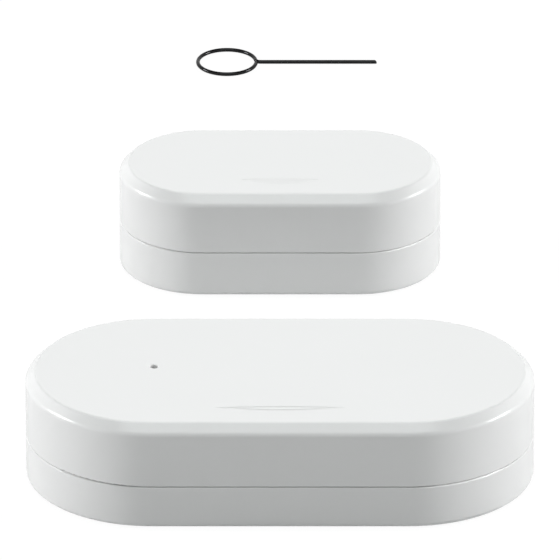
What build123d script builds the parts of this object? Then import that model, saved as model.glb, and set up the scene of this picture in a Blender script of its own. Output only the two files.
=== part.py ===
from build123d import *
from math import asin, atan, degrees, pi, radians, tan
import os

# Door and window sensor: the sensor itself, its magnet unit and its reset pin, in millimetres.
# +X runs along the sensor, +Y from the sensor past the magnet unit to the pin, +Z up.
# The origin is the centre of the sensor's adhesive pad, on the surface that all three lie on.

# Casings, made alike for the sensor and the magnet unit
cover_wall = 1.6
cover_top = 1.6
cover_edge_band = 1.35
band_lower_radius = 0.9
band_upper_radius = 0.5
cover_inner_radius = 0.5
rim_radius = 0.2
back_floor = 1.6
back_edge_radius = 0.6
seam_gap = 0.08
lip_wall = 0.8
lip_height = 1.6
lip_clearance = 0.05
rib_wall = 1.0
crush_clearance = 0.05

# Adhesive pads, let into the back covers
pad_thickness = 0.9
pad_proud = 0.3
pad_inset = 3.2
pad_clearance = 0.15

# AAA cells, one turned each way
cell_diameter = 10.5
cell_length = 44.5
cell_gap = 0.3
nub_diameter = 3.6
nub_height = 1.0
nub_edge_radius = 0.3
sleeve_thickness = 0.15
sleeve_end_inset = 0.4
can_edge_radius = 0.3

# Battery contacts and springs
contact_thickness = 0.3
contact_width = 6.0
contact_reach = 2.8
contact_board_gap = 0.4
bridge_margin = 5.0
tab_width = 1.6
tab_rise = 2.0
spring_space = 2.6
spring_wire = 0.4
spring_wide_radius = 2.5
spring_narrow_radius = 1.2
spring_turns = 2.5
spring_clearance = 0.05
coil_samples = 240

# Battery tray
tray_wall = 0.8
tray_roof = 0.8
tray_skirt = 3.2
tray_lip_clearance = 0.25
cell_floor_gap = 0.4
cell_roof_gap = 0.25
cell_side_gap = 0.25
roof_gap = 1.15
corridor_width = 4.25
tray_end_inset = 5.0
board_zone_length = 19.7
divider_width = 1.2
divider_depth = 2.3
lug_thickness = 1.2
lug_lip_gap = 0.4
front_lug_insets = (10.0, 40.0)
rear_lug_inset = 10.0

# Circuit board
board_thickness = 1.0
board_ceiling_gap = 3.4
board_clearance = 0.3
board_cell_gap = 0.4
board_tray_gap = 0.4
board_arm_margin = 2.0
tab_slot_clearance = 0.15
board_screw_inset = 8.0
board_screw_y = 10.9
module_length = 12.0
module_width = 15.0
module_thickness = 0.8
module_inset = 2.7
shield_length = 9.0
shield_width = 12.0
shield_height = 2.0
shield_wall = 0.2
shield_edge_inset = 0.8

# Parts on top of the circuit board
regulator_size = 4.0
regulator_height = 1.0
regulator_pin_width = 0.4
regulator_pin_pitch = 1.0
regulator_pin_count = 4
regulator_pin_reach = 0.7
regulator_pin_thickness = 0.2
regulator_x_offset = 9.2
regulator_y = -5.5
capacitor_length = 3.5
capacitor_width = 2.8
capacitor_height = 1.9
capacitor_x_offset = 9.2
capacitor_y = 5.5
chip_length = 1.6
chip_width = 0.8
chip_height = 0.5
chip_pitch = 1.8
chip_count = 4
chip_x_offset = 15.2
led_length = 2.0
led_width = 1.25
led_height = 0.8
led_edge_radius = 0.15
led_offset = 4.2
led_pocket_radius = 1.4
led_pocket_depth = 0.8

# Reset switch, under the hole in the front cover
switch_edge_inset = 2.7
reset_y = 1.2
reset_hole_diameter = 1.2
reset_hole_chamfer = 0.08
guide_diameter = 3.2
guide_bore_diameter = 1.4
guide_length = 0.6
switch_length = 3.2
switch_width = 4.2
switch_base_height = 1.3
switch_floor = 0.4
switch_cavity_radius = 1.2
switch_cover_thickness = 0.2
switch_flange_drop = 0.7
plunger_radius = 0.75
plunger_rise = 2.5
plunger_hole_clearance = 0.1
plunger_flange_radius = 1.1
plunger_flange_thickness = 0.3
plunger_flange_gap = 0.05
plunger_edge_radius = 0.2
dome_radius = 1.0
dome_rise = 0.16
dome_thickness = 0.08

# Reed switch, on the board's arm on the side where the magnet unit lies
reed_x = 0.0
reed_diameter = 2.0
reed_length = 13.0
reed_glass_wall = 0.3
reed_seal_length = 1.2
reed_end_radius = 0.6
reed_board_gap = 0.2
reed_lead_diameter = 0.5
reed_lead_clearance = 0.01
reed_lead_reach = 3.0
reed_lead_bend = 0.8
reed_lead_tail = 0.6
reed_blade_width = 0.9
reed_blade_thickness = 0.2
reed_blade_gap = 0.1
reed_overlap = 1.2
reed_root_gap = 0.05
reed_blade_root = 0.2
reed_hole_diameter = 0.8

# Screws
screw_diameter = 1.7
screw_clearance = 0.025
screw_hole_clearance = 0.2
screw_head_diameter = 3.2
screw_head_height = 1.3
screw_edge_radius = 0.3
screw_slot_width = 0.5
screw_slot_length = 1.9
screw_slot_depth = 0.6
tray_screw_length = 5.6
board_screw_length = 3.8
boss_diameter = 3.8
boss_tray_gap = 0.2
boss_skin = 0.3

# Sensor casing
sensor_seam = 6.85
sensor_mark_length = 19.2
sensor_mark_inset = 5.1
sensor_mark_front_bow = 1.15
sensor_mark_back_bow = 0.5
sensor_mark_depth = 0.12
sensor_mark_line = 0.6
sensor_mark_slope = 0.26
corridor_rib_length = 40.0
corridor_rib_height = 3.5
zone_rib_length = 18.0
zone_rib_places = (13.0, 8.0)

# Magnet unit
magnet_unit_length = 48.4
magnet_unit_width = 25.2
magnet_unit_seam = 7.4
magnet_unit_gap = 39.8
magnet_mark_length = 11.4
magnet_mark_inset = 4.6
magnet_mark_front_bow = 1.8
magnet_mark_back_bow = 0.3
magnet_mark_depth = 0.2
magnet_length = 26.0
magnet_width = 8.0
magnet_height = 5.0
magnet_edge_radius = 0.4
magnet_side_inset = 4.2
magnet_rise = 2.25
cradle_wall = 1.2
cradle_clearance = 0.15
cradle_depth = 3.6
holder_spacing = 18.0
holder_width = 6.0

# Reset pin, lying on the surface behind the magnet unit
pin_wire = 0.6
pin_ring_radius = 4.55
pin_ring_x = -8.3
pin_unit_gap = 58.4
pin_length = 28.3
pin_bend_radius = 0.7
pin_bend_start = 8.0
pin_free_end = 8.0
pin_tip_angle = 40.0
quarter_turn = 90.0
full_turn = 360.0

# How far off an edge may be and still be the one looked for
edge_tolerance = 0.01

# Sizes that follow from the ones above
cell_spacing = cell_diameter + cell_gap
cell_half_pair = (cell_spacing + cell_diameter) / 2
tray_half_width = cell_half_pair + cell_side_gap + tray_wall
lip_inset = cover_wall + lip_clearance
back_wall = lip_inset + lip_wall
sensor_width = 2 * (tray_half_width + corridor_width + back_wall)
tray_length = 2 * (tray_wall + contact_thickness) + spring_space + cell_length
sensor_length = tray_end_inset + tray_length + board_zone_length
floor_top = pad_proud + back_floor
cell_z = floor_top + cell_floor_gap + cell_diameter / 2
roof_bottom = cell_z + cell_diameter / 2 + cell_roof_gap
roof_top = roof_bottom + tray_roof
ceiling = roof_top + roof_gap
cover_height = ceiling + cover_top
tray_right = sensor_length / 2 - tray_end_inset
tray_left = tray_right - tray_length
right_contact_x = tray_right - tray_wall - contact_thickness
left_contact_x = tray_left + tray_wall + contact_thickness
front_cell_y = -cell_spacing / 2
rear_cell_y = cell_spacing / 2
board_top = ceiling - board_ceiling_gap
board_bottom = board_top - board_thickness
contact_top = board_bottom - contact_board_gap
contact_bottom = cell_z - contact_reach
tray_bottom = cell_z - tray_skirt
board_right = left_contact_x + nub_height - board_cell_gap
board_screw_x = board_right - board_screw_inset
lug_offset = boss_diameter / 2 + boss_tray_gap
lug_y = tray_half_width + lug_offset
lug_bottom = sensor_seam + lip_height + lug_lip_gap
lug_top = lug_bottom + lug_thickness
reset_x = board_right - switch_edge_inset
reed_y = tray_half_width + board_tray_gap + corridor_width / 2
reed_z = board_top + reed_board_gap + reed_diameter / 2
magnet_unit_y = sensor_width / 2 + magnet_unit_gap + magnet_unit_width / 2
magnet_y = magnet_unit_y - magnet_unit_width / 2 + magnet_side_inset + magnet_width / 2
magnet_bottom = floor_top + magnet_rise
magnet_top = magnet_bottom + magnet_height
pin_ring_y = magnet_unit_y + magnet_unit_width / 2 + pin_unit_gap
lug_places = [(tray_right - inset, -lug_y) for inset in front_lug_insets]
lug_places += [(tray_right - rear_lug_inset, lug_y)]
board_screw_places = [(board_screw_x, -board_screw_y), (board_screw_x, board_screw_y)]

os.makedirs("parts", exist_ok=True)


def save(piece, label):
    piece.part.label = label
    export_step(piece.part, f"parts/{label}.step")


def level(z, y=0.0):
    return Plane(origin=(0, y, z))


def facing_x(x, y, z, direction=1):
    return Plane(origin=(x, y, z), x_dir=(0, 0, 1), z_dir=(direction, 0, 0))


def edges_at(body, height):
    return body.edges().filter_by_position(Axis.Z, height - edge_tolerance, height + edge_tolerance)


# A plain cover, open below: flat top, round ends and a sloping band with round edges around the top
def front_shell(length, width, seam, y):
    with BuildPart() as shell:
        with BuildSketch(level(seam, y)):
            SlotOverall(length, width)
        extrude(amount=cover_height - seam)
        chamfer(shell.edges().group_by(Axis.Z)[-1], length=cover_edge_band)
        fillet(edges_at(shell, cover_height), radius=band_upper_radius)
        fillet(edges_at(shell, cover_height - cover_edge_band), radius=band_lower_radius)
        with BuildSketch(level(seam, y)):
            SlotOverall(length - 2 * cover_wall, width - 2 * cover_wall)
        extrude(amount=ceiling - seam, mode=Mode.SUBTRACT)
        fillet(edges_at(shell, ceiling), radius=cover_inner_radius)
        rim = shell.faces().sort_by(Axis.Z)[0].outer_wire().edges()
        fillet(rim, radius=rim_radius)
    return shell


# A plain back cover with the lip that the front cover slides over, and a recess for the pad
def back_shell(length, width, seam, y):
    with BuildPart() as shell:
        with BuildSketch(level(pad_proud, y)):
            SlotOverall(length, width)
        extrude(amount=seam - seam_gap - pad_proud)
        fillet(shell.edges().group_by(Axis.Z)[-1], radius=rim_radius)
        fillet(shell.edges().group_by(Axis.Z)[0], radius=back_edge_radius)
        with BuildSketch(level(seam - seam_gap, y)):
            SlotOverall(length - 2 * lip_inset, width - 2 * lip_inset)
        extrude(amount=lip_height + seam_gap)
        with BuildSketch(level(floor_top, y)):
            SlotOverall(length - 2 * back_wall, width - 2 * back_wall)
        extrude(amount=seam + lip_height - floor_top, mode=Mode.SUBTRACT)
        with BuildSketch(level(pad_proud, y)):
            SlotOverall(length - 2 * pad_inset, width - 2 * pad_inset)
        extrude(amount=pad_thickness - pad_proud, mode=Mode.SUBTRACT)
    return shell


def adhesive_pad(length, width, y):
    inset = pad_inset + pad_clearance
    with BuildPart() as pad:
        with BuildSketch(level(0, y)):
            SlotOverall(length - 2 * inset, width - 2 * inset)
        extrude(amount=pad_thickness)
    return pad


# The outline of a shallow mark: nearly straight behind, bowed in front
def mark_face(length, y, front_bow, back_bow, inset=0, depth=0):
    with BuildSketch(level(cover_height - depth)) as mark:
        with BuildLine():
            ThreePointArc((-length / 2, y), (0, y - front_bow), (length / 2, y))
            ThreePointArc((-length / 2, y), (0, y + back_bow), (length / 2, y))
        make_face()
        if inset:
            offset(amount=-inset)
    return mark.sketch


# The sensor's mark is an engraved line all round, with two sloping sides
sensor_mark_y = sensor_mark_inset - sensor_width / 2 + sensor_mark_front_bow
sensor_mark_outline = (sensor_mark_length, sensor_mark_y, sensor_mark_front_bow, sensor_mark_back_bow)
with BuildPart() as sensor_mark:
    loft([
        mark_face(*sensor_mark_outline),
        mark_face(*sensor_mark_outline, sensor_mark_slope, sensor_mark_depth),
    ])
    loft([
        mark_face(*sensor_mark_outline, sensor_mark_line),
        mark_face(*sensor_mark_outline, sensor_mark_line - sensor_mark_slope, sensor_mark_depth),
    ], mode=Mode.SUBTRACT)

# Sensor front cover
led_x = reset_x
led_y = reset_y - led_offset
with BuildPart() as sensor_front_cover:
    add(front_shell(sensor_length, sensor_width, sensor_seam, 0).part)
    add(sensor_mark.part, mode=Mode.SUBTRACT)
    with BuildSketch(level(lug_top)):
        with Locations(*lug_places):
            Circle(boss_diameter / 2)
    extrude(amount=ceiling - lug_top)
    with BuildSketch(level(board_top)):
        with Locations(*board_screw_places):
            Circle(boss_diameter / 2)
    extrude(amount=ceiling - board_top)
    with BuildSketch(level(lug_top)):
        with Locations(*lug_places):
            Circle(screw_diameter / 2 + screw_clearance)
    extrude(amount=ceiling - boss_skin - lug_top, mode=Mode.SUBTRACT)
    with BuildSketch(level(board_top)):
        with Locations(*board_screw_places):
            Circle(screw_diameter / 2 + screw_clearance)
    extrude(amount=ceiling - boss_skin - board_top, mode=Mode.SUBTRACT)
    with BuildSketch(level(ceiling - guide_length)):
        with Locations((reset_x, reset_y)):
            Circle(guide_diameter / 2)
            Circle(guide_bore_diameter / 2, mode=Mode.SUBTRACT)
    extrude(amount=guide_length)
    with BuildSketch(level(ceiling)):
        with Locations((reset_x, reset_y)):
            Circle(reset_hole_diameter / 2)
    extrude(amount=cover_top, mode=Mode.SUBTRACT)
    mouth = sensor_front_cover.edges().filter_by(GeomType.CIRCLE).group_by(Axis.Z)[-1]
    mouth = mouth.filter_by(lambda edge: abs(edge.radius - reset_hole_diameter / 2) < edge_tolerance)
    chamfer(mouth, length=reset_hole_chamfer)
    with BuildSketch(level(ceiling)):
        with Locations((led_x, led_y)):
            Circle(led_pocket_radius)
    extrude(amount=led_pocket_depth, mode=Mode.SUBTRACT)
save(sensor_front_cover, "sensor_front_cover")

# Sensor back cover, with stiffening ribs beside the cells and under the radio module
corridor_rib_y = (tray_half_width + sensor_width / 2 - back_wall) / 2
with BuildPart() as sensor_back_cover:
    add(back_shell(sensor_length, sensor_width, sensor_seam, 0).part)
    with BuildSketch(level(floor_top)):
        with Locations((0, -corridor_rib_y), (0, corridor_rib_y)):
            Rectangle(corridor_rib_length, rib_wall)
        with Locations(*[(tray_left - place, 0) for place in zone_rib_places]):
            Rectangle(rib_wall, zone_rib_length)
    extrude(amount=corridor_rib_height)
save(sensor_back_cover, "sensor_back_cover")

# Adhesive pads under both units
save(adhesive_pad(sensor_length, sensor_width, 0), "sensor_pad")
save(adhesive_pad(magnet_unit_length, magnet_unit_width, magnet_unit_y), "magnet_pad")

# Battery tray, open below, with three lugs that screw to the front cover's bosses
tray_middle_x = (tray_left + tray_right) / 2
tray_limit = sensor_width - 2 * (back_wall + tray_lip_clearance)
tray_limit_length = sensor_length - 2 * (back_wall + tray_lip_clearance)
with BuildPart() as battery_tray:
    with BuildSketch(level(tray_bottom)):
        with Locations((tray_middle_x, 0)):
            Rectangle(tray_length, 2 * tray_half_width)
        SlotOverall(tray_limit_length, tray_limit, mode=Mode.INTERSECT)
    extrude(amount=roof_top - tray_bottom)
    with BuildSketch(level(tray_bottom)):
        with Locations((tray_middle_x, 0)):
            Rectangle(tray_length - 2 * tray_wall, 2 * (tray_half_width - tray_wall))
    extrude(amount=roof_bottom - tray_bottom, mode=Mode.SUBTRACT)
    with BuildSketch(level(contact_top)):
        with Locations((board_right, 0)):
            Rectangle(sensor_length / 2, sensor_width, align=(Align.MAX, Align.CENTER))
    extrude(amount=roof_top - contact_top, mode=Mode.SUBTRACT)
    with BuildSketch(level(roof_bottom)):
        with Locations((board_right, 0)):
            Rectangle(tray_right - board_right - tray_wall, divider_width, align=(Align.MIN, Align.CENTER))
    extrude(amount=-divider_depth)
    with BuildSketch(level(lug_bottom)):
        with Locations(*lug_places):
            Circle(boss_diameter / 2)
        for lug_x, side_y in lug_places:
            side = 1 if side_y > 0 else -1
            with Locations((lug_x, side * (tray_half_width + lug_offset / 2))):
                Rectangle(boss_diameter, lug_offset)
        with Locations(*lug_places):
            Circle(screw_diameter / 2 + screw_hole_clearance, mode=Mode.SUBTRACT)
    extrude(amount=lug_thickness)
save(battery_tray, "battery_tray")


# One AAA cell: a steel can with its nub, and the printed sleeve around it
def cell_can(flat_x, y, direction):
    start = facing_x(flat_x, y, cell_z, direction)
    with BuildPart() as can:
        with BuildSketch(start):
            Circle(cell_diameter / 2 - sleeve_thickness)
        extrude(amount=cell_length - nub_height)
        fillet(can.edges().filter_by(GeomType.CIRCLE), radius=can_edge_radius)
        with BuildSketch(start.offset(cell_length - nub_height)):
            Circle(nub_diameter / 2)
        extrude(amount=nub_height)
        nub_end = can.faces().sort_by(Axis.X)[-1 if direction > 0 else 0]
        fillet(nub_end.edges(), radius=nub_edge_radius)
    return can


def cell_sleeve(flat_x, y, direction):
    start = facing_x(flat_x + direction * sleeve_end_inset, y, cell_z, direction)
    with BuildPart() as sleeve:
        with BuildSketch(start):
            Circle(cell_diameter / 2)
            Circle(cell_diameter / 2 - sleeve_thickness, mode=Mode.SUBTRACT)
        extrude(amount=cell_length - nub_height - 2 * sleeve_end_inset)
    return sleeve


front_cell_flat_x = right_contact_x - cell_length
rear_cell_flat_x = left_contact_x + cell_length
save(cell_can(front_cell_flat_x, front_cell_y, 1), "front_cell_can")
save(cell_sleeve(front_cell_flat_x, front_cell_y, 1), "front_cell_sleeve")
save(cell_can(rear_cell_flat_x, rear_cell_y, -1), "rear_cell_can")
save(cell_sleeve(rear_cell_flat_x, rear_cell_y, -1), "rear_cell_sleeve")


# A sheet contact against the tray's left wall, with a tab up through the board
def tab_contact(y):
    height = contact_top - contact_bottom
    with BuildPart() as contact:
        with BuildSketch(facing_x(left_contact_x - contact_thickness, y, contact_bottom)):
            Rectangle(height, contact_width, align=(Align.MIN, Align.CENTER))
            with Locations((height, 0)):
                Rectangle(tab_rise, tab_width, align=(Align.MIN, Align.CENTER))
        extrude(amount=contact_thickness)
    return contact


save(tab_contact(front_cell_y), "negative_contact")
save(tab_contact(rear_cell_y), "positive_contact")

# One wide contact joins the cells at the right
with BuildPart() as bridge_contact:
    with BuildSketch(facing_x(right_contact_x, 0, contact_bottom)):
        Rectangle(
            contact_top - contact_bottom,
            cell_spacing + bridge_margin,
            align=(Align.MIN, Align.CENTER),
        )
    extrude(amount=contact_thickness)
save(bridge_contact, "bridge_contact")


# A conical battery spring, narrow end against the cell
def battery_spring(contact_x, y, direction):
    height = spring_space - spring_wire - spring_clearance
    taper = (spring_wide_radius - spring_narrow_radius) / height
    with BuildPart() as spring:
        with BuildLine() as coil:
            Helix(
                pitch=height / spring_turns,
                height=height,
                radius=spring_wide_radius,
                center=(contact_x + direction * spring_wire / 2, y, cell_z),
                direction=(direction, 0, 0),
                cone_angle=-degrees(atan(taper)),
            )
        with BuildSketch(Plane(origin=coil.line @ 0, z_dir=coil.line % 0)):
            Circle(spring_wire / 2)
        sweep(is_frenet=True)
    # Points more than half a narrow turn apart along the wire belong to different turns
    coil_points = [coil.line @ (step / coil_samples) for step in range(coil_samples + 1)]
    apart = int(coil_samples * pi * spring_narrow_radius / coil.wire().length)
    gaps = []
    for index, point in enumerate(coil_points):
        gaps += [(other - point).length for other in coil_points[index + apart:]]
    print("least gap between the spring's turns", round(min(gaps) - spring_wire, 3))
    return spring


save(battery_spring(left_contact_x, front_cell_y, 1), "negative_spring")
save(battery_spring(right_contact_x, rear_cell_y, -1), "bridge_spring")

# Circuit board: a half-moon at the left end with an arm beside the rear cell for the reed switch
board_limit = sensor_width - 2 * (cover_wall + board_clearance)
board_limit_length = sensor_length - 2 * (cover_wall + board_clearance)
arm_front_y = tray_half_width + board_tray_gap
reed_lead_x = reed_length / 2 + reed_lead_reach
with BuildPart() as main_board:
    with BuildSketch(level(board_bottom)):
        with Locations((board_right, 0)):
            Rectangle(sensor_length / 2, sensor_width, align=(Align.MAX, Align.CENTER))
        with Locations((reed_x + reed_lead_x + board_arm_margin, arm_front_y)):
            Rectangle(sensor_length / 2, sensor_width / 2, align=(Align.MAX, Align.MIN))
        SlotOverall(board_limit_length, board_limit, mode=Mode.INTERSECT)
        with Locations(*board_screw_places):
            Circle(screw_diameter / 2 + screw_hole_clearance, mode=Mode.SUBTRACT)
        with Locations((reed_x - reed_lead_x, reed_y), (reed_x + reed_lead_x, reed_y)):
            Circle(reed_hole_diameter / 2, mode=Mode.SUBTRACT)
        with Locations((board_right, front_cell_y), (board_right, rear_cell_y)):
            Rectangle(
                2 * (board_right - left_contact_x + contact_thickness + tab_slot_clearance),
                tab_width + 2 * tab_slot_clearance,
                mode=Mode.SUBTRACT,
            )
    extrude(amount=board_thickness)
save(main_board, "main_board")

# Radio module under the board, with its shield can
module_x = tray_left - module_inset - module_length / 2
shield_x = module_x + (module_length - shield_length) / 2 - shield_edge_inset
with BuildPart() as radio_module_board:
    with BuildSketch(level(board_bottom)):
        with Locations((module_x, 0)):
            Rectangle(module_length, module_width)
    extrude(amount=-module_thickness)
save(radio_module_board, "radio_module_board")

with BuildPart() as radio_shield:
    with BuildSketch(level(board_bottom - module_thickness)):
        with Locations((shield_x, 0)):
            Rectangle(shield_length, shield_width)
    extrude(amount=-shield_height)
    fillet(radio_shield.edges().filter_by(Axis.Z), radius=rim_radius * 2)
    offset(amount=-shield_wall, openings=radio_shield.faces().sort_by(Axis.Z)[-1])
save(radio_shield, "radio_shield")

# Voltage regulator: a square package with a row of legs on two sides
with BuildPart() as voltage_regulator:
    with BuildSketch(level(board_top)):
        with Locations((board_right - regulator_x_offset, regulator_y)):
            Rectangle(regulator_size, regulator_size)
    extrude(amount=regulator_height)
    with BuildSketch(level(board_top)):
        with Locations((board_right - regulator_x_offset, regulator_y)):
            with GridLocations(regulator_pin_pitch, 0, regulator_pin_count, 1):
                Rectangle(regulator_pin_width, regulator_size + 2 * regulator_pin_reach)
    extrude(amount=regulator_pin_thickness)
save(voltage_regulator, "voltage_regulator")

with BuildPart() as storage_capacitor:
    with BuildSketch(level(board_top)):
        with Locations((board_right - capacitor_x_offset, capacitor_y)):
            Rectangle(capacitor_length, capacitor_width)
    extrude(amount=capacitor_height)
    fillet(storage_capacitor.edges().group_by(Axis.Z)[-1], radius=rim_radius)
save(storage_capacitor, "storage_capacitor")

# Chip resistors and capacitors in one row
with BuildPart() as chip_parts:
    with BuildSketch(level(board_top)):
        with Locations((board_right - chip_x_offset, 0)):
            with GridLocations(0, chip_pitch, 1, chip_count):
                Rectangle(chip_length, chip_width)
    extrude(amount=chip_height)
save(chip_parts, "chip_parts")

# Indicator, seen through the thinned patch of the front cover
with BuildPart() as status_led:
    with BuildSketch(level(board_top)):
        with Locations((led_x, led_y)):
            Rectangle(led_length, led_width)
    extrude(amount=led_height)
    fillet(status_led.edges().group_by(Axis.Z)[-1], radius=led_edge_radius)
save(status_led, "status_led")

# Reset switch: a base with a round well, a spring dome in it, a sheet cover and the plunger
switch_top = board_top + switch_base_height
well_floor = board_top + switch_floor
with BuildPart() as reset_switch_base:
    with BuildSketch(level(board_top)):
        with Locations((reset_x, reset_y)):
            Rectangle(switch_length, switch_width)
    extrude(amount=switch_base_height)
    with BuildSketch(level(well_floor)):
        with Locations((reset_x, reset_y)):
            Circle(switch_cavity_radius)
    extrude(amount=switch_top - well_floor, mode=Mode.SUBTRACT)
save(reset_switch_base, "reset_switch_base")

dome_curve = (dome_radius**2 + dome_rise**2) / (2 * dome_rise)
dome_angle = degrees(asin(dome_radius / dome_curve))
dome_center = (0, dome_rise - dome_curve)
with BuildPart() as reset_switch_dome:
    with BuildSketch(Plane(origin=(reset_x, reset_y, well_floor), x_dir=(1, 0, 0), z_dir=(0, -1, 0))):
        with BuildLine():
            inner = CenterArc(dome_center, dome_curve, 90 - dome_angle, dome_angle)
            outer = CenterArc(dome_center, dome_curve + dome_thickness, 90 - dome_angle, dome_angle)
            Line(inner @ 0, outer @ 0)
            Line(inner @ 1, outer @ 1)
        make_face()
    revolve(axis=Axis((reset_x, reset_y, 0), (0, 0, 1)))
save(reset_switch_dome, "reset_switch_dome")

with BuildPart() as reset_switch_cover:
    with BuildSketch(level(switch_top)):
        with Locations((reset_x, reset_y)):
            Rectangle(switch_length, switch_width + 2 * switch_cover_thickness)
            Circle(plunger_radius + plunger_hole_clearance, mode=Mode.SUBTRACT)
    extrude(amount=switch_cover_thickness)
    flange_y = (switch_width + switch_cover_thickness) / 2
    with BuildSketch(level(switch_top)):
        with Locations((reset_x, reset_y - flange_y), (reset_x, reset_y + flange_y)):
            Rectangle(switch_length, switch_cover_thickness)
    extrude(amount=-switch_flange_drop)
save(reset_switch_cover, "reset_switch_cover")

flange_top = switch_top - plunger_flange_gap
with BuildPart() as reset_switch_plunger:
    with BuildSketch(level(flange_top)):
        with Locations((reset_x, reset_y)):
            Circle(plunger_flange_radius)
    extrude(amount=-plunger_flange_thickness)
    with BuildSketch(level(flange_top)):
        with Locations((reset_x, reset_y)):
            Circle(plunger_radius)
    extrude(amount=board_top + plunger_rise - flange_top)
    fillet(reset_switch_plunger.edges().group_by(Axis.Z)[-1], radius=plunger_edge_radius)
save(reset_switch_plunger, "reset_switch_plunger")

# Reed switch: a sealed glass tube, a lead at each end, and two blades that meet in the middle
seal_x = reed_length / 2 - reed_seal_length
with BuildPart() as reed_glass:
    with BuildSketch(facing_x(reed_x - reed_length / 2, reed_y, reed_z)):
        Circle(reed_diameter / 2)
    extrude(amount=reed_length)
    fillet(reed_glass.edges().filter_by(GeomType.CIRCLE), radius=reed_end_radius)
    with BuildSketch(facing_x(reed_x - seal_x, reed_y, reed_z)):
        Circle(reed_diameter / 2 - reed_glass_wall)
    extrude(amount=2 * seal_x, mode=Mode.SUBTRACT)
    with BuildSketch(facing_x(reed_x - reed_length / 2, reed_y, reed_z)):
        Circle(reed_lead_diameter / 2 + reed_lead_clearance)
    extrude(amount=reed_length, mode=Mode.SUBTRACT)
save(reed_glass, "reed_glass")


# A flat blade from its tip to its root, at a height above the tube's axis
def reed_blade(tip_x, root_x, z):
    with BuildPart() as blade:
        with BuildSketch(level(reed_z + z - reed_blade_thickness / 2)):
            with Locations((reed_x + (tip_x + root_x) / 2, reed_y)):
                Rectangle(abs(root_x - tip_x), reed_blade_width)
        extrude(amount=reed_blade_thickness)
    return blade


# A lead runs out of the glass and turns down through its hole in the board
def reed_lead_wire(side, inner_reach):
    with BuildPart() as wire:
        with BuildLine(Plane(origin=(reed_x, reed_y, reed_z), x_dir=(1, 0, 0), z_dir=(0, -1, 0))) as path:
            FilletPolyline(
                (side * (seal_x - inner_reach), 0),
                (side * reed_lead_x, 0),
                (side * reed_lead_x, board_bottom - reed_z - reed_lead_tail),
                radius=reed_lead_bend,
            )
        with BuildSketch(Plane(origin=path.wire() @ 0, z_dir=path.wire() % 0)):
            Circle(reed_lead_diameter / 2)
        sweep()
    return wire


blade_z = (reed_blade_gap + reed_blade_thickness) / 2
with BuildPart() as reed_fixed_blade:
    add(reed_lead_wire(-1, reed_blade_root).part)
    add(reed_blade(reed_overlap / 2, -seal_x + reed_root_gap, -blade_z).part)
save(reed_fixed_blade, "reed_fixed_blade")
save(reed_blade(-reed_overlap / 2, seal_x - reed_root_gap, blade_z), "reed_moving_blade")
save(reed_lead_wire(1, 0), "reed_lead")


# Screws driven from below, with a slot across the head
def screws(places, seat_z, length):
    with BuildPart() as group:
        with BuildSketch(level(seat_z)):
            with Locations(*places):
                Circle(screw_head_diameter / 2)
        extrude(amount=-screw_head_height)
        fillet(group.edges().group_by(Axis.Z)[0], radius=screw_edge_radius)
        with BuildSketch(level(seat_z)):
            with Locations(*places):
                Circle(screw_diameter / 2)
        extrude(amount=length)
        with BuildSketch(level(seat_z - screw_head_height)):
            with Locations(*places):
                Rectangle(screw_slot_length, screw_slot_width)
                Rectangle(screw_slot_width, screw_slot_length)
        extrude(amount=screw_slot_depth, mode=Mode.SUBTRACT)
    return group


save(screws(lug_places, lug_bottom, tray_screw_length), "tray_screws")
save(screws(board_screw_places, board_bottom, board_screw_length), "board_screws")

# The magnet unit's mark has a floor that slopes down to a step at its front
magnet_mark_y = magnet_unit_y - magnet_unit_width / 2 + magnet_mark_inset + magnet_mark_front_bow
magnet_mark_bows = (magnet_mark_front_bow, magnet_mark_back_bow)
with BuildPart() as magnet_mark:
    extrude(mark_face(magnet_mark_length, magnet_mark_y, *magnet_mark_bows), amount=-magnet_mark_depth)
    back_point = (0, magnet_mark_y + magnet_mark_back_bow, cover_height)
    slope_normal = (0, -magnet_mark_depth, sum(magnet_mark_bows))
    split(bisect_by=Plane(origin=back_point, z_dir=slope_normal), keep=Keep.TOP)

# Magnet unit front cover, with two ribs that hold the magnet down
with BuildPart() as magnet_front_cover:
    add(front_shell(magnet_unit_length, magnet_unit_width, magnet_unit_seam, magnet_unit_y).part)
    add(magnet_mark.part, mode=Mode.SUBTRACT)
    with BuildSketch(level(magnet_top + crush_clearance, magnet_y)):
        with GridLocations(holder_spacing, 0, 2, 1):
            Rectangle(rib_wall, holder_width)
    extrude(amount=ceiling - magnet_top - crush_clearance)
save(magnet_front_cover, "magnet_front_cover")

# Magnet unit back cover, with the cradle that the magnet drops into
pocket_length = magnet_length + 2 * cradle_clearance
pocket_width = magnet_width + 2 * cradle_clearance
with BuildPart() as magnet_back_cover:
    add(back_shell(magnet_unit_length, magnet_unit_width, magnet_unit_seam, magnet_unit_y).part)
    with BuildSketch(level(floor_top, magnet_y)):
        Rectangle(pocket_length + 2 * cradle_wall, pocket_width + 2 * cradle_wall)
    extrude(amount=magnet_bottom + cradle_depth - floor_top)
    with BuildSketch(level(magnet_bottom, magnet_y)):
        Rectangle(pocket_length, pocket_width)
    extrude(amount=cradle_depth, mode=Mode.SUBTRACT)
save(magnet_back_cover, "magnet_back_cover")

with BuildPart() as bar_magnet:
    with BuildSketch(level(magnet_bottom, magnet_y)):
        Rectangle(magnet_length, magnet_width)
    extrude(amount=magnet_height)
    fillet(bar_magnet.edges(), radius=magnet_edge_radius)
save(bar_magnet, "bar_magnet")

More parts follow.
